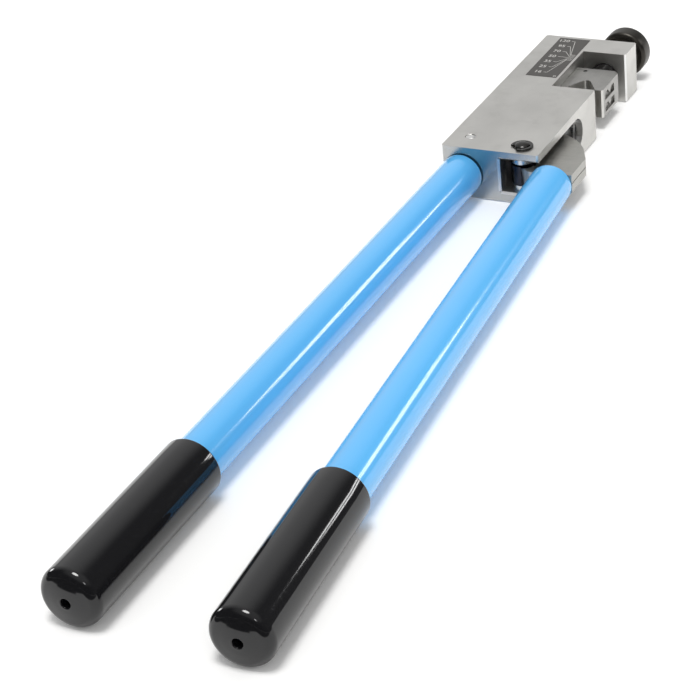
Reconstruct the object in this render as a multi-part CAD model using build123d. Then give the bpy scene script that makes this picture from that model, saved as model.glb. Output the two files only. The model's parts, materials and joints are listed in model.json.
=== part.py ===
"""Long-arm crimping tool: cam lever, spring-returned ram and an adjustable V-die.

Frame, in millimetres: origin at the centre of the head block's underside, +Y along the
head away from the handles, +X towards the open side of the jaw, +Z up. The tool lies on
its side with the handles closed.
"""
from build123d import *
from math import atan, cos, degrees, hypot, radians, sin
import os

os.makedirs("parts", exist_ok=True)

# Head block
HEAD_W, HEAD_L, HEAD_T = 64.0, 180.0, 34.5
RIGHT, LEFT = HEAD_W / 2, -HEAD_W / 2
FAR, NEAR = HEAD_L / 2, -HEAD_L / 2
MID_Z = 18.1                    # height of the ram, screw and lever
EDGE = 1.0                      # broken edges of the block
OVER = 1.0                      # how far a cutter runs past the face it cuts

# Jaw notch and lever slot, both open on the right-hand side
JAW_LEFT, JAW_NEAR, JAW_FAR = 2.4, 10.5, 68.7
SLOT_LEFT, SLOT_H = 6.4, 22.2
SLOT_END = -25.0                # centre of the slot's round end
SLOT_LOW, SLOT_TOP = MID_Z - SLOT_H / 2, MID_Z + SLOT_H / 2
SLOT_LIP = 1.3                  # broken edges of the slot's near end

# Ram and screw axis, parallel to Y
AXIS_X = 16.7
RAM_BORE_R = 11.0
SHANK_R = 8.0

# Lever pivot, cam and roller
PIVOT_X, PIVOT_Y = 18.0, -80.0
PIVOT_R = 5.5
HUB_R = 7.3
SWING = 50.0                    # opening angle of the moving handle, degrees
STROKE = 8.0                    # ram travel over that angle
CAM_RATE = STROKE / radians(SWING)
ROLLER_R, ROLLER_Y = 6.0, -26.0
CAM_GAP = 0.15                  # between the cam and the roller
PLATE_T = 6.0                   # each of the two lever plates
BOSS_R, BOSS_H = 6.2, 1.2       # raised boss round the lever's bore
SPACER_R = 6.7
CHEEK_GAP = 0.2                 # between a lever plate and the ram's cheek
PLATE_EDGE = 0.6                # broken edges of the lever plates

# Handles
TUBE_R, TUBE_WALL = 13.5, 2.0
HANDLE_Z = 16.5
GRIP_R, GRIP_L, HANDLE_L = 16.5, 117.0, 455.0
FIXED_X = -18.8
FIXED_GAP = 1.2                 # from the block's face to the fixed tube
MOVING_X, MOVING_TILT = 39.82, 3.85
MOVING_GAP = 0.9
PLUG_L, TANG_W, TANG_L = 48.0, 15.0, 45.0

# V-die, adjusting screw and knob
DIE_T, DIE_NEAR, DIE_FAR = 20.0, 24.0, 56.0
DIE_GAP = 0.1                   # to the jaw's wall
V_HALF, V_APEX, V_ROUND = 10.3, 40.4, 3.2
SCREW_R, SCREW_ROOT, PITCH = 8.5, 7.6, 1.5
SPIGOT_R, SPIGOT_NEAR, GROOVE_Y, GROOVE_R = 7.0, 44.5, 51.7, 5.3
STUB_R = 6.5                    # screw's end inside the knob
KNOB_R, KNOB_NEAR, KNOB_FAR = 16.0, 104.0, 116.0
RUNNING = 0.05                  # radial clearance of a running fit


def slab(x0, x1, y0, y1, z0, z1):
    """Box between two corners."""
    centre = Pos((x0 + x1) / 2, (y0 + y1) / 2, (z0 + z1) / 2)
    return centre * Box(x1 - x0, y1 - y0, z1 - z0)


def post(radius, z0, z1, x, y):
    """Cylinder along Z."""
    return Pos(x, y, (z0 + z1) / 2) * Cylinder(radius, z1 - z0)


def rod(radius, y0, y1, x=AXIS_X, z=MID_Z):
    """Cylinder along Y."""
    return Pos(x, (y0 + y1) / 2, z) * Rot(90, 0, 0) * Cylinder(radius, y1 - y0)


def bar(radius, x0, x1, y, z):
    """Cylinder along X."""
    return Pos((x0 + x1) / 2, y, z) * Rot(0, 90, 0) * Cylinder(radius, x1 - x0)


def turned(profile):
    """Solid turned about the ram and screw axis from (radius, y) points."""
    face = make_face(Polyline(*profile, close=True))
    return Pos(AXIS_X, 0, MID_Z) * revolve(face, Axis.Y)


def polar(radius, angle, x=PIVOT_X, y=PIVOT_Y):
    """Point at an angle in degrees about the lever's pivot."""
    return x + radius * cos(radians(angle)), y + radius * sin(radians(angle))


def plate(edges, z0, z1):
    """Flat plate with the outline that the edges make."""
    return extrude(Pos(0, 0, z0) * make_face(edges), z1 - z0)


# --- Moving handle's own frame: across and along the tilted tube ---------------------
def beside_tube(across, along):
    """Point beside the moving tube's axis, measured from where it crosses the block's face."""
    tilt = radians(MOVING_TILT)
    x = MOVING_X + across * cos(tilt) + along * sin(tilt)
    return x, NEAR + across * sin(tilt) - along * cos(tilt)


def on_handle(shape, moving):
    """Places a shape drawn along -Y from the origin on one of the two handles."""
    if moving:
        return Pos(MOVING_X, NEAR, HANDLE_Z) * Rot(0, 0, MOVING_TILT) * shape
    return Pos(FIXED_X, NEAR, HANDLE_Z) * shape


def along_handle(radius, start, end):
    """Cylinder along a handle, between two distances from the block's face."""
    return rod(radius, -end, -start, x=0, z=0)


# --- Head ---------------------------------------------------------------------------
DIE_LOW, DIE_TOP = MID_Z - DIE_T / 2, MID_Z + DIE_T / 2
KEY_OUT, KEY_IN, KEY_H = 2.0, 2.0, 6.0
KEY_NEAR, KEY_FAR = 28.0, 66.0
LABEL_X, LABEL_Y = (-21.0, 0.5), (23.0, 87.0)
LABEL_T, LABEL_PROUD = 0.5, 0.15
STEM_R, STEM_DEPTH = 8.0, 21.5
CROSS_PIN_R, CROSS_PIN_Y = 3.5, -74.0
PIN_HEAD_R, PIN_HEAD_T = 8.0, 2.5
POCKET_R = 49.5                 # room for the cam's tip as the lever opens
POCKET_ANGLE = 147.0
BUSH_NEAR, BUSH_FAR = -2.0, JAW_NEAR
DETENT_Y, DETENT_R = 79.3, 3.4
BALL_R = 3.2


def slot_cutter():
    """Room for the lever: a slot with a round end, widened to the left where the cam swings."""
    tip = polar(POCKET_R, POCKET_ANGLE)
    rise = (POCKET_R ** 2 - (PIVOT_X - SLOT_LEFT) ** 2) ** 0.5
    top = (SLOT_LEFT, PIVOT_Y + rise)
    foot = (SLOT_LEFT, PIVOT_Y - 0.5)
    end = SLOT_END + SLOT_H / 2 + OVER
    outline = [
        Polyline(top, (SLOT_LEFT, end), (RIGHT + OVER, end), (RIGHT + OVER, NEAR - OVER),
                 (SLOT_LEFT, NEAR - OVER), foot, tip),
        ThreePointArc(tip, polar(POCKET_R, 125), top),
    ]
    room = plate(outline, SLOT_LOW, SLOT_TOP)
    side = slab(LEFT, RIGHT + OVER, NEAR - OVER, SLOT_END, SLOT_LOW, SLOT_TOP)
    side += bar(SLOT_H / 2, LEFT, RIGHT + OVER, SLOT_END, MID_Z)
    return room & side


def slot_lip():
    """Bevels round the slot where it opens in the near face."""
    lip = None
    for z, way in ((SLOT_TOP, 1), (SLOT_LOW, -1)):
        wedge = make_face(Polyline((NEAR - OVER, z - way * OVER), (NEAR - OVER, z + way * (SLOT_LIP + OVER)),
                                   (NEAR + SLOT_LIP + OVER, z - way * OVER), close=True))
        wedge = Pos(SLOT_LEFT, 0, 0) * extrude(Plane.YZ * wedge, RIGHT + OVER - SLOT_LEFT)
        lip = wedge if lip is None else lip + wedge
    side = Polyline((SLOT_LEFT + OVER, NEAR - OVER), (SLOT_LEFT - SLOT_LIP - OVER, NEAR - OVER),
                    (SLOT_LEFT + OVER, NEAR + SLOT_LIP + OVER), close=True)
    return lip + plate(side, SLOT_LOW, SLOT_TOP)


def head_block():
    block = slab(LEFT, RIGHT, NEAR, FAR, 0, HEAD_T)
    block -= slab(JAW_LEFT, RIGHT + OVER, JAW_NEAR, JAW_FAR, -OVER, HEAD_T + OVER)
    for face in (block.faces().sort_by(Axis.Z)[-1], block.faces().sort_by(Axis.Z)[0]):
        block = chamfer(face.outer_wire().edges(), EDGE)
    upright = [e for e in block.edges().filter_by(Axis.Z)
               if e.center().X > RIGHT - EDGE / 2 or e.center().X < LEFT + EDGE / 2]
    block = chamfer(upright, EDGE)
    block -= slot_cutter()
    block -= slot_lip()
    block -= rod(RAM_BORE_R, SLOT_END, JAW_NEAR + OVER)
    block -= rod(SCREW_R + RUNNING, JAW_FAR - OVER, FAR + OVER)
    block -= Pos(AXIS_X, JAW_FAR, MID_Z) * Rot(-90, 0, 0) * Cone(
        SCREW_R + 2.0, SCREW_R - 0.5, 2.5)
    block -= rod(STEM_R + 0.02, NEAR - OVER, NEAR + STEM_DEPTH + 0.5, FIXED_X, HANDLE_Z)
    block -= post(CROSS_PIN_R + 0.01, -OVER, HEAD_T + OVER, FIXED_X, CROSS_PIN_Y)
    block -= post(PIVOT_R + 0.02, -OVER, HEAD_T + OVER, PIVOT_X, PIVOT_Y)
    block -= post(PIN_HEAD_R + 0.2, -OVER, PIN_HEAD_T + 0.2, PIVOT_X, PIVOT_Y)
    block -= slab(*LABEL_X, *LABEL_Y, HEAD_T - LABEL_T + LABEL_PROUD, HEAD_T + OVER)
    block -= slab(JAW_LEFT - KEY_IN, JAW_LEFT + OVER, KEY_NEAR, KEY_FAR,
                  MID_Z - KEY_H / 2, MID_Z + KEY_H / 2)
    return block - bar(DETENT_R, LEFT - OVER, AXIS_X, DETENT_Y, MID_Z)


def scale_plate():
    return slab(LABEL_X[0] + 0.05, LABEL_X[1] - 0.05, LABEL_Y[0] + 0.05, LABEL_Y[1] - 0.05,
                HEAD_T - LABEL_T + LABEL_PROUD, HEAD_T + LABEL_PROUD)


def guide_key():
    return slab(JAW_LEFT - KEY_IN, JAW_LEFT + KEY_OUT, KEY_NEAR, KEY_FAR,
                MID_Z - KEY_H / 2, MID_Z + KEY_H / 2)


def ram_bush():
    return rod(RAM_BORE_R, BUSH_NEAR, BUSH_FAR) - rod(
        SHANK_R + RUNNING, BUSH_NEAR - OVER, BUSH_FAR + OVER)


CLIP_LOW, CLIP_T, CLIP_R, CLIP_GROOVE = HEAD_T + 0.1, 1.2, 7.0, 3.5
PIN_TOP, PIN_END_R = HEAD_T + 3.1, 4.6


def pivot_pin():
    """Flat head sunk in the underside and a thinner end on top, grooved for the clip."""
    pin = post(PIN_END_R, HEAD_T - 1.0, PIN_TOP, PIVOT_X, PIVOT_Y)
    pin = chamfer(pin.edges().sort_by(Axis.Z)[-1], 0.9)
    pin += post(PIVOT_R, PIN_HEAD_T, HEAD_T - 0.1, PIVOT_X, PIVOT_Y)
    pin += post(PIN_HEAD_R, 0.1, PIN_HEAD_T + 0.2, PIVOT_X, PIVOT_Y)
    groove = post(PIN_HEAD_R, CLIP_LOW, CLIP_LOW + CLIP_T + 0.1, PIVOT_X, PIVOT_Y)
    groove -= post(CLIP_GROOVE - 0.1, CLIP_LOW - 1, CLIP_LOW + 3, PIVOT_X, PIVOT_Y)
    return pin - groove


def pivot_clip():
    """E-clip: a ring open towards the near left, with three prongs in the groove."""
    low, high = CLIP_LOW, CLIP_LOW + CLIP_T
    ring = post(CLIP_R, low, high, 0, 0) - post(CLIP_R - 2.0, low - 1, high + 1, 0, 0)
    for angle in (0, 100, -100):
        prong = slab(CLIP_GROOVE, CLIP_R - 1.0, -1.4, 1.4, low, high)
        ring += Rot(0, 0, angle) * prong
    ring -= slab(-CLIP_R - 1, -1.0, -3.6, 3.6, low - 1, high + 1)
    return Pos(PIVOT_X, PIVOT_Y, 0) * Rot(0, 0, 45) * ring


def spacer(z0, z1):
    """Ring on the pivot pin between the slot's wall and the lever's boss."""
    ring = post(SPACER_R, z0 + 0.05, z1 - 0.05, PIVOT_X, PIVOT_Y)
    return ring - post(PIVOT_R + RUNNING, z0, z1, PIVOT_X, PIVOT_Y)


def handle_cross_pin():
    pin = post(CROSS_PIN_R, 0.3, HEAD_T + 0.5, FIXED_X, CROSS_PIN_Y)
    return fillet(pin.edges().sort_by(Axis.Z)[-1], 0.9)


def detent_ball():
    """Rides just clear of the thread's crest."""
    return Pos(AXIS_X - SCREW_R - BALL_R - 0.12, DETENT_Y, MID_Z) * Sphere(BALL_R)


DETENT_SPRING = (-12.5, 2.3)    # X from the grub screw's face to the ball
DETENT_COIL_R, DETENT_WIRE, DETENT_TURNS = 2.5, 0.75, 5


def coil(radius, wire, length, turns):
    """Open helical spring along Z, standing on Z = 0."""
    path = Helix(pitch=(length - 2 * wire) / turns, height=length - 2 * wire, radius=radius)
    start = Plane(origin=path @ 0, z_dir=path % 0)
    return Pos(0, 0, wire) * sweep(start * Circle(wire), path=path)


def detent_spring():
    x0, x1 = DETENT_SPRING
    spring = coil(DETENT_COIL_R, DETENT_WIRE, x1 - x0, DETENT_TURNS)
    return Pos(x0, DETENT_Y, MID_Z) * Rot(0, 90, 0) * spring


def detent_screw():
    """Grub screw with a hexagon socket in its outer end."""
    screw = bar(DETENT_R, LEFT + 2.0, DETENT_SPRING[0] - 0.1, DETENT_Y, MID_Z)
    socket = extrude(RegularPolygon(2.0, 6), 3.0)
    return screw - Pos(LEFT + 2.0, DETENT_Y, MID_Z) * Rot(0, 90, 0) * socket


# --- Handles ------------------------------------------------------------------------
def tube(start):
    """Steel tube, open at both ends, running to just short of the grip's end wall."""
    end = HANDLE_L - 6.0
    return along_handle(TUBE_R, start, end) - along_handle(
        TUBE_R - TUBE_WALL, start - OVER, end + OVER)


def grip():
    """Dipped sleeve with a domed end and a vent hole."""
    start, end = HANDLE_L - GRIP_L, HANDLE_L
    sleeve = along_handle(GRIP_R, start, end)
    ends = sleeve.edges().filter_by(GeomType.CIRCLE).sort_by(Axis.Y)
    sleeve = fillet(ends[0], 7.5)
    sleeve = fillet(sleeve.edges().filter_by(GeomType.CIRCLE).sort_by(Axis.Y)[-1], 1.5)
    sleeve -= along_handle(TUBE_R + 0.02, start - OVER, end - 5.0)
    return sleeve - along_handle(2.5, start, end + OVER)


def fixed_stem():
    """Plug in the tube with a thinner neck into the block, cross-drilled for its pin."""
    stem = along_handle(TUBE_R - TUBE_WALL - 0.05, FIXED_GAP + 0.6, FIXED_GAP + PLUG_L)
    stem += along_handle(STEM_R, -STEM_DEPTH, FIXED_GAP + 1.0)
    return on_handle(stem, False) - post(
        CROSS_PIN_R + 0.01, -OVER, HEAD_T, FIXED_X, CROSS_PIN_Y)


def handle_plug():
    """Plug in the moving tube with a slot for the lever plates' tang."""
    plug = along_handle(TUBE_R - TUBE_WALL - 0.05, MOVING_GAP, MOVING_GAP + PLUG_L)
    z0, z1 = MID_Z - PLATE_T - HANDLE_Z, MID_Z + PLATE_T - HANDLE_Z
    half = TANG_W / 2 + 0.1
    plug -= slab(-half, half, -TANG_L - 0.5, OVER, z0 - 0.1, z1 + 0.1)
    plug = on_handle(plug, True)
    for hole in tang_pins():
        plug -= hole
    return plug


def tang_pins():
    """Two pins through the plug and the tang."""
    pins = []
    for along in (14.0, 32.0):
        x, y = beside_tube(0, along)
        pins.append(post(2.5, HANDLE_Z - 11.0, HANDLE_Z + 11.0, x, y))
    return pins


# --- Lever --------------------------------------------------------------------------
def cam_point(turn):
    """Cam outline where it meets the roller when the lever has opened by turn radians.

    The ram moves back in proportion to the turn, so the roller's centre traces this
    pitch curve in the lever's frame, and the cam lies a roller's radius inside it.
    """
    reach_x = AXIS_X - PIVOT_X
    reach_y = ROLLER_Y - CAM_RATE * turn - PIVOT_Y
    c, s = cos(turn), sin(turn)
    x, y = c * reach_x + s * reach_y, -s * reach_x + c * reach_y
    along_x, along_y = y - s * CAM_RATE, -x - c * CAM_RATE
    size = hypot(along_x, along_y)
    inset = (ROLLER_R + CAM_GAP) / size
    return PIVOT_X + x + along_y * inset, PIVOT_Y + y - along_x * inset


LEVER_RIGHT = 53.45
LEVER_CORNER = -65.5            # where the straight right-hand edge starts
CAM_START, CAM_END, CAM_STEPS = -2.5, SWING + 6.0, 10
RIVETS = ((20.0, -52.0), (24.5, -68.0))
RIVET_R = 3.0


def lever_outline():
    steps = [CAM_START + (CAM_END - CAM_START) * i / CAM_STEPS for i in range(CAM_STEPS + 1)]
    cam = [cam_point(radians(s)) for s in steps]
    shoulder = beside_tube(LEVER_RIGHT - MOVING_X, MOVING_GAP - 0.1)
    near = [cam[-1], (LEVER_RIGHT, LEVER_CORNER), (LEVER_RIGHT, shoulder[1])]
    near += [beside_tube(TANG_W / 2, MOVING_GAP - 0.1), beside_tube(TANG_W / 2, TANG_L),
             beside_tube(-TANG_W / 2, TANG_L), beside_tube(-TANG_W / 2, MOVING_GAP - 0.1),
             beside_tube(-TUBE_R, MOVING_GAP - 0.1), polar(HUB_R, -80)]
    hub = ThreePointArc(polar(HUB_R, -80), polar(HUB_R, -160), polar(HUB_R, 176))
    return [Spline(*cam), Polyline(*near), hub, Line(polar(HUB_R, 176), cam[0])]


def lever_plate(z0, z1, boss_z0, boss_z1):
    shape = plate(lever_outline(), z0, z1)
    for face in (shape.faces().sort_by(Axis.Z)[-1], shape.faces().sort_by(Axis.Z)[0]):
        right = face.outer_wire().edges().filter_by(Axis.Y).sort_by(Axis.X)[-1]
        shape = chamfer(right, PLATE_EDGE)
    shape += post(BOSS_R, boss_z0, boss_z1, PIVOT_X, PIVOT_Y)
    shape -= post(PIVOT_R + RUNNING, 0, HEAD_T, PIVOT_X, PIVOT_Y)
    for x, y in RIVETS:
        shape -= post(RIVET_R + 0.01, 0, HEAD_T, x, y)
    for hole in tang_pins():
        shape -= hole
    return shape


def lever_rivets():
    return [post(RIVET_R, MID_Z - PLATE_T, MID_Z + PLATE_T, x, y) for x, y in RIVETS]


# --- Ram ----------------------------------------------------------------------------
CARRIAGE_X = (SLOT_LEFT + 0.1, AXIS_X + RAM_BORE_R)
CARRIAGE_Y = (ROLLER_Y - 8.0, -16.0)
CARRIAGE_R = 10.8
SHANK_END, PUNCH_TIP = 18.0, 28.0
ROLLER_PIN_R = 3.0
PUNCH_SPIGOT_R = 4.0
SEAT_R, SEAT_T = 10.5, 1.2
PUNCH_PIN_R, PUNCH_PIN_Y = 1.5, 13.5


def ram():
    """Forked carriage round the roller, in one piece with the round shank."""
    body = slab(*CARRIAGE_X, CARRIAGE_Y[0], ROLLER_Y, MID_Z - CARRIAGE_R, MID_Z + CARRIAGE_R)
    body += bar(CARRIAGE_R, *CARRIAGE_X, ROLLER_Y, MID_Z)
    body &= slab(*CARRIAGE_X, *CARRIAGE_Y, 0, HEAD_T)
    body += rod(SHANK_R, CARRIAGE_Y[1] - 1.0, SHANK_END)
    half = PLATE_T + CHEEK_GAP
    body -= slab(0, RIGHT, CARRIAGE_Y[0] - OVER, ROLLER_Y + ROLLER_R + 0.3,
                 MID_Z - half, MID_Z + half)
    body -= post(ROLLER_PIN_R + 0.01, 0, HEAD_T, AXIS_X, ROLLER_Y)
    body -= rod(PUNCH_SPIGOT_R + 0.01, SHANK_END - 9.5, SHANK_END + OVER)
    return body - post(PUNCH_PIN_R + 0.01, 0, HEAD_T, AXIS_X, PUNCH_PIN_Y)


def punch():
    """Indenter with a tapered, rounded nose and a spigot in the shank."""
    nose = turned([(0, SHANK_END), (SHANK_R, SHANK_END), (SHANK_R, SHANK_END + 2.0),
                   (4.8, PUNCH_TIP - 2.0), (3.2, PUNCH_TIP - 0.4), (2.0, PUNCH_TIP),
                   (0, PUNCH_TIP)])
    nose += rod(PUNCH_SPIGOT_R, SHANK_END - 9.0, SHANK_END + 0.5)
    return nose - post(PUNCH_PIN_R + 0.01, 0, HEAD_T, AXIS_X, PUNCH_PIN_Y)


def punch_pin():
    return post(PUNCH_PIN_R, MID_Z - 7.6, MID_Z + 7.6, AXIS_X, PUNCH_PIN_Y)


def spring_seat():
    y0 = CARRIAGE_Y[1]
    return rod(SEAT_R, y0, y0 + SEAT_T) - rod(SHANK_R + 0.02, y0 - OVER, y0 + SEAT_T + OVER)


RETURN_COIL_R, RETURN_WIRE, RETURN_TURNS = 9.4, 0.9, 4


def return_spring():
    y0, y1 = CARRIAGE_Y[1] + SEAT_T + 0.05, BUSH_NEAR - 0.05
    spring = coil(RETURN_COIL_R, RETURN_WIRE, y1 - y0, RETURN_TURNS)
    return Pos(AXIS_X, y0, MID_Z) * Rot(-90, 0, 0) * spring


def roller_pin():
    return post(ROLLER_PIN_R, MID_Z - 10.5, MID_Z + 10.5, AXIS_X, ROLLER_Y)


def ram_roller():
    roller = post(ROLLER_R, MID_Z - PLATE_T, MID_Z + PLATE_T, AXIS_X, ROLLER_Y)
    return roller - post(ROLLER_PIN_R + RUNNING, 0, HEAD_T, AXIS_X, ROLLER_Y)


# --- V-die and its screw ------------------------------------------------------------
DIE_CORNER, DIE_EDGE = 3.2, 0.8
MARK_Y, MARK_W, MARK_H, MARK_DEPTH = 36.8, 17.0, 5.4, 1.6
RETAINER_R = 1.5
RETAINER_X = AXIS_X - GROOVE_R - RETAINER_R - 0.1


def die_mark(z):
    """Shallow recess in the die's side, shaped like the die's own V."""
    half, top = MARK_W / 2, MARK_H / 2
    outline = Polyline((-half, -top), (half, -top), (half, top), (half * 0.35, top),
                       (0, -top * 0.3), (-half * 0.35, top), (-half, top), close=True)
    face = Plane(origin=(RIGHT, MARK_Y, z), x_dir=(0, 1, 0), z_dir=(1, 0, 0)) * make_face(outline)
    return extrude(face, -MARK_DEPTH) + extrude(face, OVER)


def v_die():
    left = JAW_LEFT + DIE_GAP
    outline = make_face(Polyline(
        (left, DIE_NEAR + 0.8), (left + 0.8, DIE_NEAR), (AXIS_X - V_HALF, DIE_NEAR),
        (AXIS_X, V_APEX), (AXIS_X + V_HALF, DIE_NEAR), (RIGHT - 1.2, DIE_NEAR),
        (RIGHT, DIE_NEAR + 1.2),
        (RIGHT, DIE_FAR - DIE_CORNER), (RIGHT - DIE_CORNER, DIE_FAR), (left, DIE_FAR),
        close=True))
    apex = outline.vertices().sort_by_distance((AXIS_X, V_APEX, 0))[0]
    die = extrude(Pos(0, 0, DIE_LOW) * fillet(apex, V_ROUND), DIE_T)
    for face in (die.faces().sort_by(Axis.Z)[-1], die.faces().sort_by(Axis.Z)[0]):
        die = chamfer(face.outer_wire().edges(), DIE_EDGE)
    die -= rod(SPIGOT_R + RUNNING, SPIGOT_NEAR - 0.5, DIE_FAR + OVER)
    die -= post(RETAINER_R + 0.01, DIE_LOW - OVER, DIE_TOP + OVER, RETAINER_X, GROOVE_Y)
    die -= slab(left - OVER, JAW_LEFT + KEY_OUT + 0.2, DIE_NEAR - OVER, DIE_FAR + OVER,
                MID_Z - KEY_H / 2 - 0.1, MID_Z + KEY_H / 2 + 0.1)
    die -= slab(left - OVER, left + 6.5, 52.85, 53.15, DIE_TOP - 0.3, DIE_TOP + OVER)
    return die - die_mark(MID_Z + 4.2) - die_mark(MID_Z - 4.2)


def retaining_pin():
    return post(RETAINER_R, DIE_LOW + 0.2, DIE_TOP - 0.3, RETAINER_X, GROOVE_Y)


def adjusting_screw():
    """Spindle with ring-shaped stand-ins for its thread, a spigot and a stub for the knob."""
    groove = 1.7
    profile = [(0, SPIGOT_NEAR), (SPIGOT_R, SPIGOT_NEAR), (SPIGOT_R, GROOVE_Y - groove),
               (GROOVE_R, GROOVE_Y - groove), (GROOVE_R, GROOVE_Y + groove),
               (SPIGOT_R, GROOVE_Y + groove), (SPIGOT_R, DIE_FAR + 0.05),
               (SCREW_ROOT, DIE_FAR + 0.05)]
    for ring in range(30):
        y = DIE_FAR + 0.6 + PITCH * ring
        profile += [(SCREW_ROOT, y), (SCREW_R, y + 0.55), (SCREW_R, y + 0.8),
                    (SCREW_ROOT, y + 1.35)]
    profile += [(SCREW_ROOT, KNOB_NEAR), (STUB_R, KNOB_NEAR), (STUB_R, KNOB_FAR - 1.0),
                (0, KNOB_FAR - 1.0)]
    return turned(profile) - knob_pin(0.01)


def knob():
    body = rod(KNOB_R, KNOB_NEAR, KNOB_FAR)
    rims = body.edges().filter_by(GeomType.CIRCLE).sort_by(Axis.Y)
    body = fillet(rims[0], 2.5)
    body = fillet(body.edges().filter_by(GeomType.CIRCLE).sort_by(Axis.Y)[-1], 1.0)
    return body - rod(STUB_R + 0.02, KNOB_NEAR - OVER, KNOB_FAR + OVER) - knob_pin(0.01)


def knob_pin(grow=0.0):
    """Roll pin across the knob and the screw's stub."""
    middle = (KNOB_NEAR + KNOB_FAR) / 2
    return post(2.0 + grow, MID_Z - KNOB_R + 1.0, MID_Z + KNOB_R - 1.0, AXIS_X, middle)


TOP, LOW = MID_Z + PLATE_T, MID_Z - PLATE_T
PARTS = {
    "head_block": head_block(),
    "scale_plate": scale_plate(),
    "guide_key": guide_key(),
    "ram_bush": ram_bush(),
    "pivot_pin": pivot_pin(),
    "pivot_clip": pivot_clip(),
    "upper_spacer": spacer(TOP + BOSS_H, SLOT_TOP),
    "lower_spacer": spacer(SLOT_LOW, LOW - BOSS_H),
    "handle_cross_pin": handle_cross_pin(),
    "detent_ball": detent_ball(),
    "detent_spring": detent_spring(),
    "detent_screw": detent_screw(),
    "fixed_stem": fixed_stem(),
    "fixed_tube": on_handle(tube(FIXED_GAP), False),
    "fixed_grip": on_handle(grip(), False),
    "lever_plate_upper": lever_plate(MID_Z, TOP, MID_Z, TOP + BOSS_H),
    "lever_plate_lower": lever_plate(LOW, MID_Z, LOW - BOSS_H, MID_Z),
    "lever_rivets": Compound(children=lever_rivets()),
    "handle_plug": handle_plug(),
    "tang_pins": Compound(children=tang_pins()),
    "moving_tube": on_handle(tube(MOVING_GAP), True),
    "moving_grip": on_handle(grip(), True),
    "ram": ram(),
    "punch": punch(),
    "punch_pin": punch_pin(),
    "spring_seat": spring_seat(),
    "return_spring": return_spring(),
    "roller_pin": roller_pin(),
    "ram_roller": ram_roller(),
    "v_die": v_die(),
    "retaining_pin": retaining_pin(),
    "adjusting_screw": adjusting_screw(),
    "knob": knob(),
    "knob_pin": knob_pin(),
}

for name, shape in PARTS.items():
    export_step(shape, f"parts/{name}.step")
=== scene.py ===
"""Looks of the long-arm crimping tool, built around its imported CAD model."""

import json
from math import acos, atan, ceil, cos, degrees, pi, radians, sin, tau

import bpy
from mathutils import Matrix, Vector

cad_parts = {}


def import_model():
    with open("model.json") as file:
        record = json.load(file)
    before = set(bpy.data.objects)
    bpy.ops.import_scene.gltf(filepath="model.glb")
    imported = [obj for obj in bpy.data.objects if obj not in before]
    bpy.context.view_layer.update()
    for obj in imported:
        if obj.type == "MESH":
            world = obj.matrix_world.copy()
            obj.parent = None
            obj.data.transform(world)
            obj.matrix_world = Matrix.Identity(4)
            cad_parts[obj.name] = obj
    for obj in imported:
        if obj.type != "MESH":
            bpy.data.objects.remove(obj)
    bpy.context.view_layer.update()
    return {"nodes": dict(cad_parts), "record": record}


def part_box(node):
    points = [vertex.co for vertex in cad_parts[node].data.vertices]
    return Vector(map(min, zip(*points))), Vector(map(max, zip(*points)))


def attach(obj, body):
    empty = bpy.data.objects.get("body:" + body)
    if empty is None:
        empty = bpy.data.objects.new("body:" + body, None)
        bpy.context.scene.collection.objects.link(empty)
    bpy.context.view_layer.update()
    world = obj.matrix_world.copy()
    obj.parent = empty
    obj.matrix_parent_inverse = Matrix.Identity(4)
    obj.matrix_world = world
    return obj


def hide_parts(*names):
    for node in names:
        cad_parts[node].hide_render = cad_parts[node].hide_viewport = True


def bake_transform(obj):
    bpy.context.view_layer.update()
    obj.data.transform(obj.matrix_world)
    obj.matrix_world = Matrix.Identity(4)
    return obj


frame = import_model()
NODES = frame["nodes"]
MM = 0.001


# --- Places taken from the frame -----------------------------------------------------
def span(node, axis):
    """Lowest and highest coordinate of a node along X, Y or Z, in millimetres."""
    low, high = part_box(node)
    i = "XYZ".index(axis)
    return low[i] / MM, high[i] / MM


def middle(node, axis):
    return sum(span(node, axis)) / 2


def half(node, axis):
    low, high = span(node, axis)
    return (high - low) / 2


HEAD_TOP = span("head_block", "Z")[1]
HEAD_NEAR = span("head_block", "Y")[0]
AXIS_X, MID_Z = middle("ram_bush", "X"), middle("ram_bush", "Z")
PIVOT_X, PIVOT_Y = middle("pivot_pin", "X"), middle("pivot_pin", "Y")
HANDLE_Z = middle("fixed_tube", "Z")
TUBE_R, TUBE_WALL = half("fixed_tube", "X"), 2.0
GRIP_R = half("fixed_grip", "X")
GRIP_NEAR, GRIP_FAR = (HEAD_NEAR - y for y in reversed(span("fixed_grip", "Y")))
TUBE_NEAR, TUBE_FAR = (HEAD_NEAR - y for y in reversed(span("fixed_tube", "Y")))
FIXED_X = middle("fixed_tube", "X")
MOVING_X, MOVING_TILT = 39.82, radians(3.85)
MOVING_GAP = 0.9


# --- Meshes --------------------------------------------------------------------------
ON_AXIS = 1e-6                  # a smaller radius is a point on the axis


def piece(name, points, faces, sharp=35.0):
    """Mesh object from points in millimetres, smooth except across sharp edges."""
    mesh = bpy.data.meshes.new(name)
    mesh.from_pydata([Vector(p) * MM for p in points], [], faces)
    mesh.validate()
    mesh.shade_smooth()
    mesh.set_sharp_from_angle(angle=radians(sharp))
    made = bpy.data.objects.new(name, mesh)
    bpy.context.scene.collection.objects.link(made)
    return made


def arc(centre, radius, start, end, steps=8):
    """Points of an arc in a profile, from angle start to angle end in degrees."""
    angles = [radians(start + (end - start) * i / steps) for i in range(steps + 1)]
    return [(centre[0] + radius * cos(a), centre[1] + radius * sin(a)) for a in angles]


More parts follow.
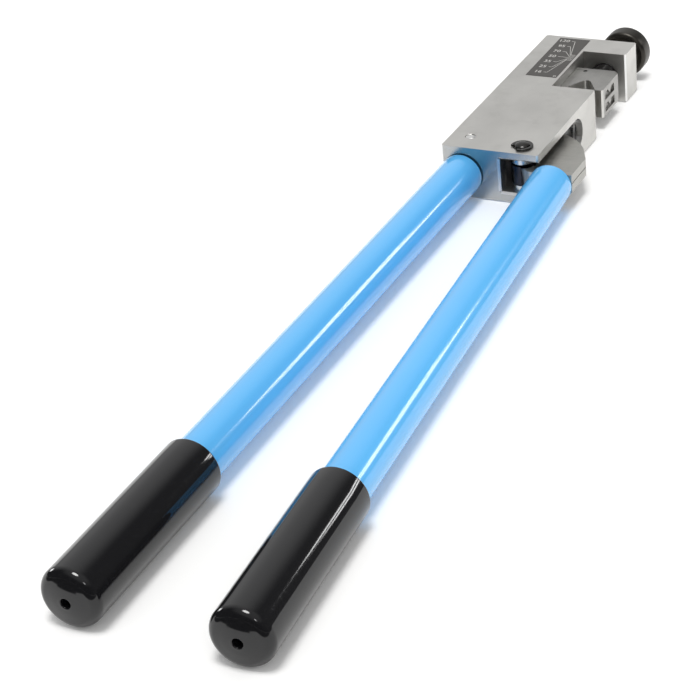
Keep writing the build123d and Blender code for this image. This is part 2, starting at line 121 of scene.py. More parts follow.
def skin(rings, segments, closed=False):
    """Faces between neighbouring rings of points. A ring of one point closes an end."""
    faces = []
    for one, two in zip(rings, rings[1:] + rings[:1] if closed else rings[1:]):
        for k in range(segments):
            quad = [one[k % len(one)], one[(k + 1) % len(one)],
                    two[(k + 1) % len(two)], two[k % len(two)]]
            faces.append(list(dict.fromkeys(quad)))
    return faces


def turned(name, profile, place, segments=96):
    """Solid turned about the local Y axis from (radius, y) points.

    The profile is closed: it either starts and ends on the axis or runs round a ring.
    """
    points, rings = [], []
    for radius, y in profile:
        count = 1 if radius < ON_AXIS else segments
        rings.append([len(points) + i for i in range(count)])
        for i in range(count):
            a = tau * i / segments
            points.append(place @ Vector((radius * cos(a), y, radius * sin(a))))
    return piece(name, points, skin(rings, segments, closed=len(rings[0]) > 1))


def prism(name, outline, low, high, bevel, place=Matrix()):
    """Flat plate from an outline in X and Y, with rounded edges top and bottom."""
    count = len(outline)
    points = [place @ Vector((x, y, z)) for z in (low, high) for x, y in outline]
    faces = [[i, (i + 1) % count, (i + 1) % count + count, i + count] for i in range(count)]
    faces += [list(range(count))[::-1], list(range(count, 2 * count))]
    made = piece(name, points, faces)
    rounded = made.modifiers.new("rounded", "BEVEL")
    rounded.width = bevel * MM
    rounded.segments = 3
    rounded.limit_method = "ANGLE"
    rounded.angle_limit = radians(50)
    return made


def along_y(x, y, z, turn=0.0):
    """Place whose local Y axis lies in the XY plane, turned from +Y by an angle."""
    return Matrix.Translation((x, y, z)) @ Matrix.Rotation(turn, 4, "Z")


def upright(x, y):
    """Place whose local Y axis points up."""
    return Matrix.Translation((x, y, 0)) @ Matrix.Rotation(pi / 2, 4, "X")


HANDLES = {"fixed": (along_y(FIXED_X, HEAD_NEAR, HANDLE_Z, pi), "head", TUBE_NEAR),
           "moving": (along_y(MOVING_X, HEAD_NEAR, HANDLE_Z, pi + MOVING_TILT), "lever", MOVING_GAP)}


# --- Materials -----------------------------------------------------------------------
class Finish:
    """Material with one Principled shader and procedural detail in object space."""

    def __init__(self, name, colour, roughness, metallic=0.0, **others):
        self.material = bpy.data.materials.new(name)
        self.material.use_nodes = True
        self.tree = self.material.node_tree
        self.shader = self.tree.nodes["Principled BSDF"]
        others.update({"Base Color": (*colour, 1.0), "Roughness": roughness,
                       "Metallic": metallic})
        for socket, value in others.items():
            self.shader.inputs[socket.replace("_", " ")].default_value = value
        where = self.tree.nodes.new("ShaderNodeTexCoord")
        self.place, self.normal = where.outputs["Object"], where.outputs["Normal"]
        self.colour = colour

    def put(self, socket, value):
        """Links or sets a node's input."""
        if isinstance(value, bpy.types.NodeSocket):
            self.tree.links.new(value, socket)
        else:
            socket.default_value = value

    def math(self, operation, *values, clamp=False):
        node = self.tree.nodes.new("ShaderNodeMath")
        node.operation = operation
        node.use_clamp = clamp
        for socket, value in zip(node.inputs, values):
            self.put(socket, value)
        return node.outputs[0]

    def noise(self, scale, stretch=(1, 1, 1), detail=3.0, rough=0.55):
        """Noise of a scale per metre, drawn out by stretch along each axis."""
        shift = self.tree.nodes.new("ShaderNodeMapping")
        self.put(shift.inputs["Vector"], self.place)
        shift.inputs["Scale"].default_value = [1 / s for s in stretch]
        node = self.tree.nodes.new("ShaderNodeTexNoise")
        self.put(node.inputs["Vector"], shift.outputs[0])
        node.inputs["Scale"].default_value = scale
        node.inputs["Detail"].default_value = detail
        node.inputs["Roughness"].default_value = rough
        return node.outputs["Fac"]

    def rescale(self, value, low, high, to_low=0.0, to_high=1.0):
        node = self.tree.nodes.new("ShaderNodeMapRange")
        for socket, number in zip(node.inputs, (value, low, high, to_low, to_high)):
            self.put(socket, number)
        return node.outputs[0]

    def axes(self, vector):
        node = self.tree.nodes.new("ShaderNodeSeparateXYZ")
        self.put(node.inputs[0], vector)
        return node.outputs

    def mix(self, share, one, two):
        """Colour between two colours or sockets."""
        node = self.tree.nodes.new("ShaderNodeMix")
        node.data_type = "RGBA"
        self.put(node.inputs[0], share)
        for socket, colour in ((node.inputs[6], one), (node.inputs[7], two)):
            self.put(socket, colour if isinstance(colour, bpy.types.NodeSocket) else (*colour, 1.0))
        return node.outputs[2]

    def blend(self, share, one, two):
        """Number between two numbers or sockets."""
        node = self.tree.nodes.new("ShaderNodeMix")
        for socket, value in zip(node.inputs[:1] + node.inputs[2:4], (share, one, two)):
            self.put(socket, value)
        return node.outputs[0]

    def flat(self, axis, sharpness=0.9):
        """One where the surface faces along an axis, either way."""
        return self.math("GREATER_THAN", self.math("ABSOLUTE", self.axes(self.normal)[axis]), sharpness)

    def edges(self):
        """One where the surface faces along none of the axes."""
        flats = self.math("MAXIMUM", self.math("MAXIMUM", self.flat(0), self.flat(1)), self.flat(2))
        return self.math("SUBTRACT", 1.0, flats)

    def paint(self, colour=None, roughness=None):
        if colour is not None:
            self.put(self.shader.inputs["Base Color"], colour)
        if roughness is not None:
            self.put(self.shader.inputs["Roughness"], roughness)

    def bump(self, height, depth, strength=1.0):
        """Relief of a depth in millimetres."""
        node = self.tree.nodes.new("ShaderNodeBump")
        self.put(node.inputs["Height"], height)
        node.inputs["Distance"].default_value = depth * MM
        node.inputs["Strength"].default_value = strength
        self.put(self.shader.inputs["Normal"], node.outputs[0])


def shade(colour, factor):
    return tuple(c * factor for c in colour)


def ground_steel():
    """Surface-ground block: grinding lines along the top, milling lines up the sides,
    a smoother near face painted darker as shade, and broken edges painted bright as a highlight."""
    f = Finish("ground_steel", (0.60, 0.592, 0.57), 0.4, 1.0)
    top = f.flat(2, 0.7)
    lines = f.noise(2600, (1, 60, 60), 2.0)
    risers = f.noise(1500, (1, 1, 40), 2.0)
    grain = f.blend(top, risers, lines)
    cloud = f.noise(28, (1, 1.6, 1), 3.0, 0.5)
    smudge = f.rescale(f.noise(70, (1, 1, 1), 4.0, 0.6), 0.5, 0.72)
    # near: the near face, smoother in roughness and also painted darker as shade.
    near = f.math("MULTIPLY", f.flat(1, 0.9),
                  f.math("LESS_THAN", f.axes(f.place)[1], (HEAD_NEAR + 0.5) * MM))
    edge_highlight = f.edges()
    tone = f.mix(f.rescale(cloud, 0.35, 0.65), shade(f.colour, 0.9), shade(f.colour, 1.06))
    tone = f.mix(f.math("MULTIPLY", smudge, 0.3), tone, shade(f.colour, 0.72))
    tone = f.mix(f.rescale(grain, 0.3, 0.7, 0.0, 0.25), tone, shade(f.colour, 1.15))
    # Painted shade: the near face is drawn darker than the rest of the block.
    tone = f.mix(f.math("MULTIPLY", near, 0.6), tone, shade(f.colour, 0.6))
    # Painted highlight: edges facing along none of the axes are lightened to near white.
    tone = f.mix(edge_highlight, tone, (0.86, 0.855, 0.85))
    rough = f.rescale(grain, 0.3, 0.7, 0.33, 0.45)
    rough = f.math("ADD", rough, f.math("MULTIPLY", smudge, 0.06))
    f.paint(tone, f.blend(near, rough, f.rescale(cloud, 0.3, 0.7, 0.2, 0.28)))
    f.bump(grain, 0.004, 0.6)
    return f.material


def brushed_steel(name, colour, roughness, stretch=(1, 30, 30), stain=0.3):
    """Machined steel with fine tool lines, oily patches and edges painted bright as a highlight."""
    f = Finish(name, colour, roughness, 1.0)
    lines = f.noise(2200, stretch, 2.0)
    patch = f.rescale(f.noise(130, (1, 1, 1), 4.0, 0.6), 0.42, 0.68)
    edge_highlight = f.edges()
    tone = f.mix(f.rescale(lines, 0.3, 0.7), shade(colour, 0.88), shade(colour, 1.1))
    tone = f.mix(f.math("MULTIPLY", patch, stain), tone, shade(colour, 0.6))
    # Painted highlight: edges are lightened towards twice the steel's colour.
    tone = f.mix(f.math("MULTIPLY", edge_highlight, 0.7), tone, shade(colour, 2.0))
    f.paint(tone, f.rescale(lines, 0.3, 0.7, roughness - 0.06, roughness + 0.08))
    f.bump(lines, 0.003, 0.6)
    return f.material


def lever_steel():
    """Ground plate, darkened to near black round the pivot."""
    colour = (0.46, 0.455, 0.43)
    f = Finish("lever_steel", colour, 0.42, 1.0)
    lines = f.noise(2400, (40, 1, 40), 2.0)
    patch = f.rescale(f.noise(90, (1, 1, 1), 4.0, 0.6), 0.45, 0.7)
    x, y, z = f.axes(f.place)
    away = f.math("SQRT", f.math("ADD", f.math("POWER", f.math("SUBTRACT", x, PIVOT_X * MM), 2.0),
                                 f.math("POWER", f.math("SUBTRACT", y, PIVOT_Y * MM), 2.0)))
    # Darkened to near black and made glossier within about 9 to 10 mm of the pivot, with a ragged edge.
    pivot_darkening = f.rescale(f.math("ADD", away, f.math("MULTIPLY", patch, 0.0012)), 0.0104, 0.0088)
    tone = f.mix(f.rescale(lines, 0.3, 0.7), shade(colour, 0.9), shade(colour, 1.1))
    tone = f.mix(f.math("MULTIPLY", patch, 0.25), tone, shade(colour, 0.65))
    plate_roughness = f.rescale(lines, 0.3, 0.7, 0.36, 0.5)
    f.paint(f.mix(pivot_darkening, tone, (0.035, 0.036, 0.045)), f.blend(pivot_darkening, plate_roughness, 0.25))
    f.bump(lines, 0.004, 0.6)
    return f.material


def turned_metal(name, colour, roughness, metallic=1.0):
    """Turned or drawn metal with faint rings and a slightly uneven oil film."""
    f = Finish(name, colour, roughness, metallic)
    film = f.noise(160, (1, 1, 1), 4.0, 0.6)
    rings = f.noise(3000, (40, 1, 40), 2.0)
    tone = f.mix(f.rescale(film, 0.35, 0.65), shade(colour, 0.8), shade(colour, 1.15))
    f.paint(tone, f.rescale(film, 0.35, 0.65, roughness * 0.75, roughness * 1.3))
    f.bump(rings, 0.003, 0.5)
    return f.material


def blue_paint():
    """Gloss powder coat with a faint orange peel."""
    f = Finish("blue_paint", (0.112, 0.468, 0.885), 0.16, Coat_Weight=0.5, Coat_Roughness=0.03)
    cloud = f.noise(14, (1, 4, 1), 2.0)
    peel = f.noise(900, (1, 1, 1), 2.0, 0.4)
    dust = f.rescale(f.noise(2600, (1, 1, 1), 1.0), 0.74, 0.78)
    tone = f.mix(f.rescale(cloud, 0.35, 0.65), shade(f.colour, 0.965), shade(f.colour, 1.03))
    f.paint(f.mix(f.math("MULTIPLY", dust, 0.25), tone, (0.45, 0.62, 0.8)),
            f.rescale(cloud, 0.35, 0.65, 0.13, 0.19))
    f.bump(peel, 0.004, 0.5)
    return f.material


def black_vinyl():
    """Dipped PVC: glossy, with slow waves where the film ran."""
    f = Finish("black_vinyl", (0.0075, 0.0075, 0.0085), 0.1)
    wave = f.noise(42, (1, 3, 1), 2.0, 0.4)
    fine = f.noise(700, (1, 1, 1), 2.0, 0.5)
    scuff = f.rescale(f.noise(320, (1, 1, 1), 5.0, 0.65), 0.55, 0.8)
    f.paint(f.mix(f.math("MULTIPLY", scuff, 0.4), f.colour, (0.016, 0.016, 0.017)),
            f.rescale(scuff, 0.0, 1.0, 0.075, 0.17))
    f.bump(f.math("ADD", wave, f.math("MULTIPLY", fine, 0.015)), 0.12, 0.22)
    return f.material


def knob_black():
    """Black-oxided turned knob with fine rings and an uneven film."""
    f = Finish("knob_black", (0.055, 0.051, 0.045), 0.36, 0.85)
    rings = f.noise(1800, (60, 1, 60), 2.0)
    film = f.noise(120, (1, 1, 1), 4.0, 0.6)
    tone = f.mix(f.rescale(film, 0.35, 0.65), shade(f.colour, 0.85), shade(f.colour, 1.15))
    f.paint(tone, f.rescale(film, 0.35, 0.65, 0.32, 0.44))
    f.bump(rings, 0.006, 0.6)
    return f.material


def scale_black():
    f = Finish("scale_black", (0.095, 0.09, 0.085), 0.45, 0.6)
    lines = f.noise(2600, (40, 1, 40), 2.0)
    tone = f.mix(f.rescale(lines, 0.3, 0.7), shade(f.colour, 0.85), shade(f.colour, 1.15))
    f.paint(tone, f.rescale(lines, 0.3, 0.7, 0.4, 0.52))
    f.bump(lines, 0.003, 0.5)
    return f.material


def scale_marks():
    """Engraved numbers and lines, showing bare metal."""
    f = Finish("scale_marks", (0.55, 0.54, 0.52), 0.5)
    fleck = f.noise(2500, (1, 1, 1), 2.0)
    f.paint(f.mix(f.rescale(fleck, 0.35, 0.65), shade(f.colour, 0.8), shade(f.colour, 1.15)))
    return f.material


MATERIALS = {
    "ground_steel": ground_steel(),
    "die_steel": brushed_steel("die_steel", (0.4, 0.395, 0.38), 0.38),
    "lever_steel": lever_steel(),
    "tool_steel": turned_metal("tool_steel", (0.33, 0.33, 0.33), 0.3),
    "bright_steel": turned_metal("bright_steel", (0.7, 0.7, 0.69), 0.27),
    "spring_steel": turned_metal("spring_steel", (0.4, 0.4, 0.41), 0.28),
    "black_oxide": turned_metal("black_oxide", (0.022, 0.021, 0.02), 0.22, 0.3),
    "bronze": turned_metal("bronze", (0.5, 0.4, 0.29), 0.28),
    "blue_paint": blue_paint(),
    "black_vinyl": black_vinyl(),
    "knob_black": knob_black(),
    "scale_black": scale_black(),
}
MARKS = scale_marks()


def finish_piece(made, slot, body, *replaced, material=None):
    """Gives a piece its material, the one of its slot unless another is given, and the body it rides
    on.
    """
    made.data.materials.append(material or MATERIALS[slot])
    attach(made, body)
    if replaced:
        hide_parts(*replaced)
    return made


def finish_nodes():
    """Gives every CAD node the material of its slot."""
    for part in frame["record"]["subparts"]:
        mesh = NODES[part["node"]].data
        mesh.materials.clear()
        mesh.materials.append(MATERIALS[part["material_slot"]])


# --- Handles -------------------------------------------------------------------------
def painted_tube(handle):
    """Tube with softly rounded ends under its paint."""
    place, body, start = HANDLES[handle]
    end, inner, lip = TUBE_FAR, TUBE_R - TUBE_WALL, 0.5
    profile = arc((TUBE_R - lip, start + lip), lip, -90, 0, 5)
    profile += [(TUBE_R, start + 6), (TUBE_R, end - 6)]
    profile += arc((TUBE_R - lip, end - lip), lip, 0, 90, 5)
    profile += arc((inner + lip, end - lip), lip, 90, 180, 5)
    profile += arc((inner + lip, start + lip), lip, 180, 270, 5)
    tube = turned(f"{handle}_tube_painted", profile, place, 128)
    finish_piece(tube, "blue_paint", body, f"{handle}_tube")


SHOULDER_R, CROWN, LIP_R, VENT_R, VENT_RIM, END_WALL = 5.5, 1.3, 1.4, 2.7, 0.5, 5.0


def dipped_grip(handle):
    """Dipped sleeve: rolled lip, round shoulder, faintly domed end and a rimmed vent."""
    place, body, _ = HANDLES[handle]
    start, end, bore = GRIP_NEAR, GRIP_FAR, TUBE_R + 0.03
    profile = arc((bore + 0.6, start + 0.6), 0.6, 180, 270, 4)
    profile += arc((GRIP_R - LIP_R, start + LIP_R), LIP_R, -90, 0, 8)
    profile += [(GRIP_R, start + 12), (GRIP_R, end - SHOULDER_R - 10)]
    flat = GRIP_R - SHOULDER_R
    ball = (flat ** 2 + CROWN ** 2) / (2 * CROWN)
    lean = atan(flat / (ball - CROWN))
    profile += arc((flat, end - CROWN - SHOULDER_R), SHOULDER_R, 0, 90 - degrees(lean), 16)
    profile += [(ball * sin(a), end - ball + ball * cos(a))
                for a in (lean * (1 - i / 12) for i in range(1, 9))]
    profile += arc((VENT_R + VENT_RIM, end - VENT_RIM), VENT_RIM, 100, 180, 8)
    profile += [(VENT_R, end - END_WALL + 0.3), (VENT_R + 0.4, end - END_WALL),
                (bore - 1.5, end - END_WALL), (bore, end - END_WALL - 1.5)]
    grip = turned(f"{handle}_grip_dipped", profile, place, 128)
    finish_piece(grip, "black_vinyl", body, f"{handle}_grip")


# --- Pins, clip, screw, knob and spring ----------------------------------------------
def dome(radius, top, rise):
    """Profile of a domed end, from its rim to the axis."""
    ball = (radius ** 2 + rise ** 2) / (2 * rise)
    half_angle = acos((ball - rise) / ball)
    steps = 8
    angles = [half_angle * (1 - i / steps) for i in range(steps + 1)]
    return [(ball * sin(a), top - ball + ball * cos(a)) for a in angles]


def domed_pivot_pin():
    low, high = span("pivot_pin", "Z")
    clip_high = span("pivot_clip", "Z")[1]
    radius, head_r, head_t, neck, end_r = 5.5, 8.0, 2.4, 3.45, 4.6
    profile = [(0, low)]
    profile += arc((head_r - 0.5, low + 0.5), 0.5, -90, 0, 4)
    profile += arc((head_r - 0.3, head_t - 0.1), 0.3, 0, 90, 3)
    profile += [(radius, head_t + 0.2), (radius, HEAD_TOP - 0.1), (neck, HEAD_TOP - 0.1),
                (neck, clip_high + 0.05), (end_r - 0.1, clip_high + 0.05)]
    profile += dome(end_r - 0.1, high, high - clip_high - 0.3)
    profile[-1] = (0, high)
    pin = turned("pivot_pin_domed", profile, upright(PIVOT_X, PIVOT_Y), 64)
    finish_piece(pin, "black_oxide", "head", "pivot_pin")


def e_clip():
    """E-clip with three prongs, open towards the near left."""
    low, high = span("pivot_clip", "Z")
    outer, inner, neck = 6.95, 5.1, 3.5
    mouth, prong = 34.0, 17.0
    outline = arc((0, 0), outer, mouth - 180, 180 - mouth, 48)
    inside = []
    for centre in (100, 0, -100):
        inside += arc((0, 0), neck, centre + prong, centre - prong, 6)
        if centre > -100:
            inside += arc((0, 0), inner, centre - prong - 10, centre - 100 + prong + 10, 8)
    start = arc((0, 0), inner, 180 - mouth - 4, 100 + prong + 6, 5)
    finish = arc((0, 0), inner, -100 - prong - 6, mouth - 180 + 4, 5)
    outline += start + inside + finish
    place = Matrix.Translation((PIVOT_X, PIVOT_Y, 0)) @ Matrix.Rotation(radians(45), 4, "Z")
    clip = prism("pivot_e_clip", outline, low, high, 0.25, place)
    finish_piece(clip, "black_oxide", "head", "pivot_clip")


def domed_cross_pin():
    low, high = span("handle_cross_pin", "Z")
    radius = half("handle_cross_pin", "X")
    place = upright(middle("handle_cross_pin", "X"), middle("handle_cross_pin", "Y"))
    profile = [(0, low)] + arc((radius - 0.4, low + 0.4), 0.4, -90, 0, 4)
    profile += dome(radius, high, 1.0)
    profile[-1] = (0, high)
    pin = turned("cross_pin_domed", profile, place, 64)
    finish_piece(pin, "bright_steel", "head", "handle_cross_pin")


PITCH, CREST_R, ROOT_R = 1.5, 8.5, 7.6


def thread_radius(turn):
    """Radius of the thread at a share of one pitch: flank, crest, flank, root."""
    rise = min(turn / 0.4, 1.0, (1.0 - turn) / 0.4)
    return ROOT_R + (CREST_R - ROOT_R) * max(0.0, min(1.0, rise))


def threaded_spindle():
    """Adjusting screw with a helical thread, a grooved spigot and a stub for the knob."""
    near, far = span("adjusting_screw", "Y")
    thread_near, thread_far, neck_far = near + 12.1, near + 57.2, near + 59.5
    groove, spigot, bottom, stub = (near + 5.5, near + 8.9), 7.0, 5.3, 6.5
    rows_per_pitch, segments = 12, 96
    rows = ceil((thread_far - thread_near) / PITCH * rows_per_pitch)
    profile = [(0, near), (spigot - 0.5, near), (spigot, near + 0.5), (spigot, groove[0]),
               (bottom, groove[0]), (bottom, groove[1]), (spigot, groove[1]),
               (spigot, thread_near - 0.5), (ROOT_R - 0.2, thread_near - 0.5)]
    tail = [(ROOT_R, neck_far), (stub, neck_far), (stub, far - 0.6), (stub - 0.6, far),
            (1.6, far), (0, far - 1.3)]
    points, rings = [], []
    place = along_y(AXIS_X, 0, MID_Z)

    def ring(radii, y):
        rings.append([len(points) + i for i in range(len(radii))])
        for i, radius in enumerate(radii):
            a = tau * i / segments
            points.append(place @ Vector((radius * cos(a), y, radius * sin(a))))

    for radius, y in profile:
        ring([radius] * (1 if radius < ON_AXIS else segments), y)
    for row in range(rows + 1):
        y = thread_near + (thread_far - thread_near) * row / rows
        runout = min(1.0, (y - thread_near) / PITCH, (thread_far - y) / PITCH)
        radii = []
        for i in range(segments):
            turn = (y / PITCH + i / segments) % 1.0
            radii.append(ROOT_R + (thread_radius(turn) - ROOT_R) * max(0.0, runout))
        ring(radii, y)
    for radius, y in tail:
        ring([radius] * (1 if radius < ON_AXIS else segments), y)
    screw = piece("adjusting_screw_threaded", points, skin(rings, segments), 28)
    finish_piece(screw, "black_oxide", "adjuster", "adjusting_screw")


def turned_knob():
    """Knob with a rounded near rim, a recessed near face and a chamfered far rim."""
    near, far = span("knob", "Y")
    radius, bore, rim = half("knob", "X"), 6.54, 2.5
    profile = [(bore, near + 0.3), (bore + 0.3, near), (10.0, near), (10.6, near + 0.5),
               (radius - rim - 0.9, near + 0.5), (radius - rim - 0.4, near)]
    profile += arc((radius - rim, near + rim), rim, -90, 0, 8)
    profile += arc((radius - 1.0, far - 1.0), 1.0, 0, 90, 6)
    profile += [(radius - 3.2, far), (radius - 4.0, far - 0.8), (bore + 2.4, far - 0.8),
                (bore + 1.7, far), (bore + 0.3, far), (bore, far - 0.3)]
    knob = turned("knob_turned", profile, along_y(AXIS_X, 0, MID_Z), 128)
    finish_piece(knob, "knob_black", "adjuster", "knob")


def coil_spring():
    """Return spring with closed ends, stretched between the head's bush and the ram's seat."""
    low, high = span("return_spring", "Y")
    wire, steps_per_turn, sides = 0.9, 40, 14
    radius = half("return_spring", "X") - wire
    low, high = low + wire, high - wire
    live, dead = 3.0, 0.6
    turns = live + 2 * dead
    count = int(turns * steps_per_turn)
    rings, points = [], []
    for i in range(count + 1):
        turn = turns * i / count
        share = min(1.0, max(0.0, (turn - dead) / live))
        eased = share * share * (3 - 2 * share) * 0.35 + share * 0.65
        y = low + (high - low) * eased
        a = tau * turn
        centre = Vector((AXIS_X + radius * cos(a), y, MID_Z + radius * sin(a)))
        out = Vector((cos(a), 0, sin(a)))
        rings.append([len(points) + k for k in range(sides)])
        for k in range(sides):
            b = tau * k / sides
            points.append(centre + out * wire * cos(b) + Vector((0, wire * sin(b), 0)))
    faces = [[one[k], one[(k + 1) % sides], two[(k + 1) % sides], two[k]]
             for one, two in zip(rings, rings[1:]) for k in range(sides)]
    faces += [rings[0][::-1], rings[-1]]
    spring = piece("return_spring_coil", points, faces)
    spring.data.materials.append(MATERIALS["spring_steel"])
    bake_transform(spring)
    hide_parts("return_spring")


# --- Size scale ----------------------------------------------------------------------
SIZES = ("16", "25", "35", "50", "70", "95", "120")
NUMBER_X, FIRST_Y, NUMBER_STEP, NUMBER_H = -12.4, 29.9, 8.72, 3.8
LEAD_START, LEAD_END = -11.0, -8.6
FAN_X, FAN_END, FAN_FIRST, FAN_STEP = -3.5, 0.1, 51.5, 1.5
LINE_W, MARK_H = 0.34, 0.05
LINE_STEP = 0.004               # each line stands this much higher, so that none coincide
EM_PER_HEIGHT = 1.36            # font size over the height of its digits
NUMBER_WEIGHT = 0.03            # thickening of the digits' strokes
RING_IN, RING_OUT, RING_INSET = 0.75, 1.1, 1.9


def scale_numbers(top):
    """Engraved numbers of the cable sizes, in one mesh."""
    points, faces = [], []
    for i, size in enumerate(SIZES):
        curve = bpy.data.curves.new(f"number_{size}", "FONT")
        curve.body = size
        curve.size = NUMBER_H * EM_PER_HEIGHT * MM
        curve.align_x, curve.align_y = "RIGHT", "CENTER"
        curve.extrude = MARK_H / 2 * MM
        curve.offset = NUMBER_WEIGHT * MM
        curve.resolution_u = 4
        drawn = bpy.data.objects.new(f"number_{size}", curve)
        shape = bpy.data.meshes.new_from_object(drawn)
        offset = len(points)
        y = FIRST_Y + NUMBER_STEP * i
        for v in shape.vertices:
            points.append(v.co / MM + Vector((NUMBER_X, y, top + MARK_H / 2)))
        faces += [[k + offset for k in p.vertices] for p in shape.polygons]
        bpy.data.objects.remove(drawn)
        bpy.data.curves.remove(curve)
        bpy.data.meshes.remove(shape)
    made = piece("scale_numbers", points, faces)
    finish_piece(made, "scale_black", "head", material=MARKS)


def line_faces(points, route, low, high):
    """Adds a flat line of even width along a route, as a closed strip."""
    sides = []
    for i, here in enumerate(route):
        before, after = route[max(i - 1, 0)], route[min(i + 1, len(route) - 1)]
        steps = [Vector(b) - Vector(a) for a, b in ((before, here), (here, after)) if a != b]
        mean = sum((s.normalized() for s in steps), Vector((0, 0))).normalized()
        across = Vector((-mean.y, mean.x)) * LINE_W / 2 / max(0.5, abs(mean.dot(steps[0].normalized())))
        sides.append((Vector(here) - across, Vector(here) + across))
    base = len(points)
    for left, right in sides:
        points += [(*left, low), (*right, low), (*right, high), (*left, high)]
    faces = [[base, base + 1, base + 2, base + 3], [base + 4 * len(sides) - k for k in (1, 2, 3, 4)]]
    for i in range(len(sides) - 1):
        a, b = base + 4 * i, base + 4 * i + 4
        faces += [[a + k, b + k, b + (k + 1) % 4, a + (k + 1) % 4] for k in range(4)]
    return faces


def scale_lines(top):
    """Fan of lines from each number to its setting at the jaw's edge."""
    points, faces = [], []
    for i in range(len(SIZES)):
        y = FIRST_Y + NUMBER_STEP * i
        setting = FAN_FIRST + FAN_STEP * i
        route = [(LEAD_START, y), (LEAD_END, y), (FAN_X, setting), (FAN_END, setting)]
        height = MARK_H + LINE_STEP * i
        faces += line_faces(points, route, top, top + height)
    made = piece("scale_fan", points, faces)
    finish_piece(made, "scale_black", "head", material=MARKS)


def scale_ring(top):
    """Small engraved ring at the plate's near right corner."""
    x, y = span("scale_plate", "X")[1] - RING_INSET, span("scale_plate", "Y")[0] + RING_INSET
    profile = [(RING_IN, top), (RING_OUT, top), (RING_OUT, top + MARK_H), (RING_IN, top + MARK_H)]
    ring = turned("scale_ring", profile, upright(x, y), 32)
    finish_piece(ring, "scale_black", "head", material=MARKS)


# --- Stage ---------------------------------------------------------------------------
def floor():
    """Round pale floor, far larger than the tool."""
    size, count = 9000.0, 96
    points = [(size * cos(tau * i / count), size * sin(tau * i / count), 0) for i in range(count)]
    made = piece("floor", points, [list(range(count))])
    f = Finish("pale_floor", (0.99, 0.99, 0.985), 0.9, Specular_IOR_Level=0.1,
               Emission_Color=(1.0, 1.0, 0.98, 1.0), Emission_Strength=0.05)
    grain = f.noise(3, detail=2.0)
    f.paint(f.mix(f.rescale(grain, 0.35, 0.65), (0.985, 0.985, 0.98), (0.995, 0.995, 0.995)))
    made.data.materials.append(f.material)


def lamp(name, kind, strength, place, aim=(0, -0.25, 0), colour=(1, 1, 1), **settings):
    """Light at a place in metres, pointed at aim."""
    data = bpy.data.lights.new(name, kind)
    data.energy = strength
    data.color = colour
    for key, value in settings.items():
        setattr(data, key, value)
    made = bpy.data.objects.new(name, data)
    made.location = place
    made.rotation_euler = (Vector(aim) - Vector(place)).to_track_quat("-Z", "Y").to_euler()
    made.visible_camera = False
    bpy.context.scene.collection.objects.link(made)
    return made


def panel(name, radiance, place, width, height, aim=(0, -0.25, 0), colour=(1, 1, 1)):
    """Rectangular soft light given by the brightness of its face."""
    power = radiance * pi * width * height
    return lamp(name, "AREA", power, place, aim, colour, shape="RECTANGLE", size=width, size_y=height)


def lights():
    lamp("overhead", "SUN", 1.6, (0.1, -0.5, 1.9), colour=(1.0, 0.995, 0.985), angle=radians(20))
    for i, z in enumerate((0.59, 0.78)):
        panel(f"side_strip_{i}", 13.0, (1.148, 1.289, z), 0.42, 0.1, aim=(0, -0.35, 0))
    panel("left_window", 9.0, (-1.7, -0.1, 0.42), 0.42, 0.3)
    panel("right_window", 7.0, (1.3, -1.7, 1.5), 0.3, 0.3)


CARD_HALF, CARD_FRONT, CARD_EDGE, CARD_Z = 1500.0, -3500.0, -596.0, 1.0


def dark_card():
    """Dark sheet in front of the grips, which only reflections see."""
    points = [(-CARD_HALF, CARD_FRONT, CARD_Z), (CARD_HALF, CARD_FRONT, CARD_Z),
              (CARD_HALF, CARD_EDGE, CARD_Z), (-CARD_HALF, CARD_EDGE, CARD_Z)]
    made = piece("dark_card", points, [[0, 1, 2, 3]])
    made.data.materials.append(Finish("dark_card", (0.01, 0.01, 0.01), 0.9).material)
    made.visible_camera = made.visible_diffuse = made.visible_shadow = False


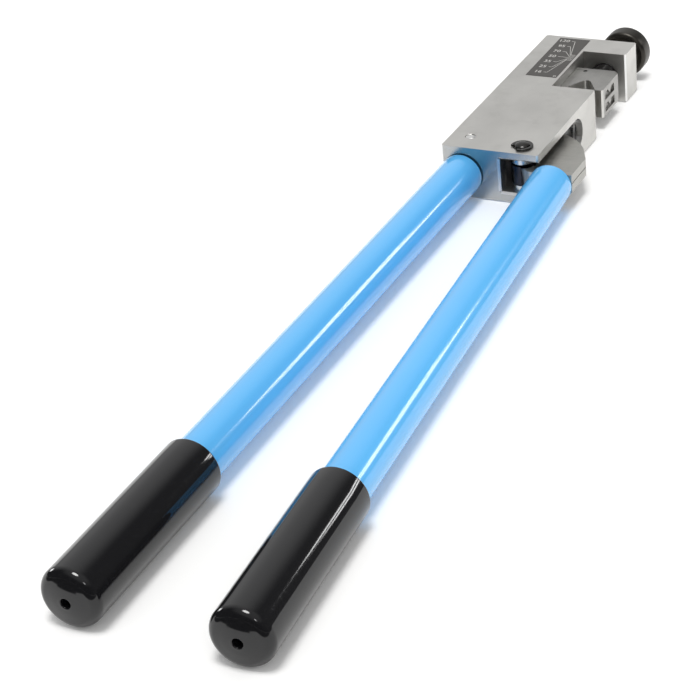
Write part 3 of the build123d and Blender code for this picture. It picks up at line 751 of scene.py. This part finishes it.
def world():
    """White to the camera, even for matt surfaces, and shaped for reflections: bright at
    the back left and overhead, dim at the far right, nearly dark in front."""
    made = bpy.data.worlds.new("studio")
    made.use_nodes = True
    tree = made.node_tree
    tree.nodes.clear()
    where = tree.nodes.new("ShaderNodeTexCoord")
    rays = tree.nodes.new("ShaderNodeLightPath")

    def glow(towards, start, end, low, high):
        """Brightness that rises from low to high as a direction nears towards."""
        aim = tree.nodes.new("ShaderNodeVectorMath")
        aim.operation = "DOT_PRODUCT"
        aim.inputs[1].default_value = towards
        tree.links.new(where.outputs["Generated"], aim.inputs[0])
        ramp = tree.nodes.new("ShaderNodeMapRange")
        ramp.interpolation_type = "SMOOTHSTEP"
        for socket, value in zip(ramp.inputs[1:5], (start, end, low, high)):
            socket.default_value = value
        tree.links.new(aim.outputs["Value"], ramp.inputs[0])
        return ramp.outputs[0]

    def add(one, two):
        node = tree.nodes.new("ShaderNodeMath")
        tree.links.new(one, node.inputs[0])
        tree.links.new(two, node.inputs[1])
        return node.outputs[0]

    def light(strength):
        node = tree.nodes.new("ShaderNodeBackground")
        if isinstance(strength, float):
            node.inputs["Strength"].default_value = strength
        else:
            tree.links.new(strength, node.inputs["Strength"])
        return node.outputs[0]

    def choose(test, one, two):
        node = tree.nodes.new("ShaderNodeMixShader")
        for socket, value in zip(node.inputs, (rays.outputs[test], two, one)):
            tree.links.new(value, socket)
        return node.outputs[0]

    back = glow((-0.5, 0.68, 0.54), 0.62, 1.0, 0.03, 0.9)
    overhead = glow((0.15, -0.15, 0.97), 0.6, 0.93, 0.0, 0.5)
    far_right = glow((0.5, 0.85, 0.15), -0.1, 0.6, 0.0, 0.1)
    mirrored = add(back, add(overhead, far_right))
    lit = choose("Is Glossy Ray", light(mirrored), light(0.75))
    out = tree.nodes.new("ShaderNodeOutputWorld")
    tree.links.new(choose("Is Camera Ray", light(1.0), lit), out.inputs[0])
    bpy.context.scene.world = made


CAMERA_PLACE = (0.47297, -1.13058, 0.57464)
CAMERA_TURN, CAMERA_DIP, CAMERA_ROLL = 0.5125, 0.5317, 0.1127
CAMERA_LENS = 105.45


def camera():
    """Long lens from the handles' end, looking down the tool."""
    data = bpy.data.cameras.new("camera")
    data.lens = CAMERA_LENS
    data.sensor_width = 36.0
    made = bpy.data.objects.new("camera", data)
    turn = Matrix.Rotation(CAMERA_TURN, 4, "Z") @ Matrix.Rotation(pi / 2 - CAMERA_DIP, 4, "X")
    made.matrix_world = Matrix.Translation(CAMERA_PLACE) @ turn @ Matrix.Rotation(-CAMERA_ROLL, 4, "Z")
    bpy.context.scene.collection.objects.link(made)
    bpy.context.scene.camera = made
    bpy.context.scene.view_settings.view_transform = "Standard"


camera()
world()
lights()
floor()
dark_card()
finish_nodes()
for handle in HANDLES:
    painted_tube(handle)
    dipped_grip(handle)
domed_pivot_pin()
e_clip()
domed_cross_pin()
threaded_spindle()
turned_knob()
coil_spring()
PLATE_TOP = span("scale_plate", "Z")[1]
scale_numbers(PLATE_TOP)
scale_lines(PLATE_TOP)
scale_ring(PLATE_TOP)
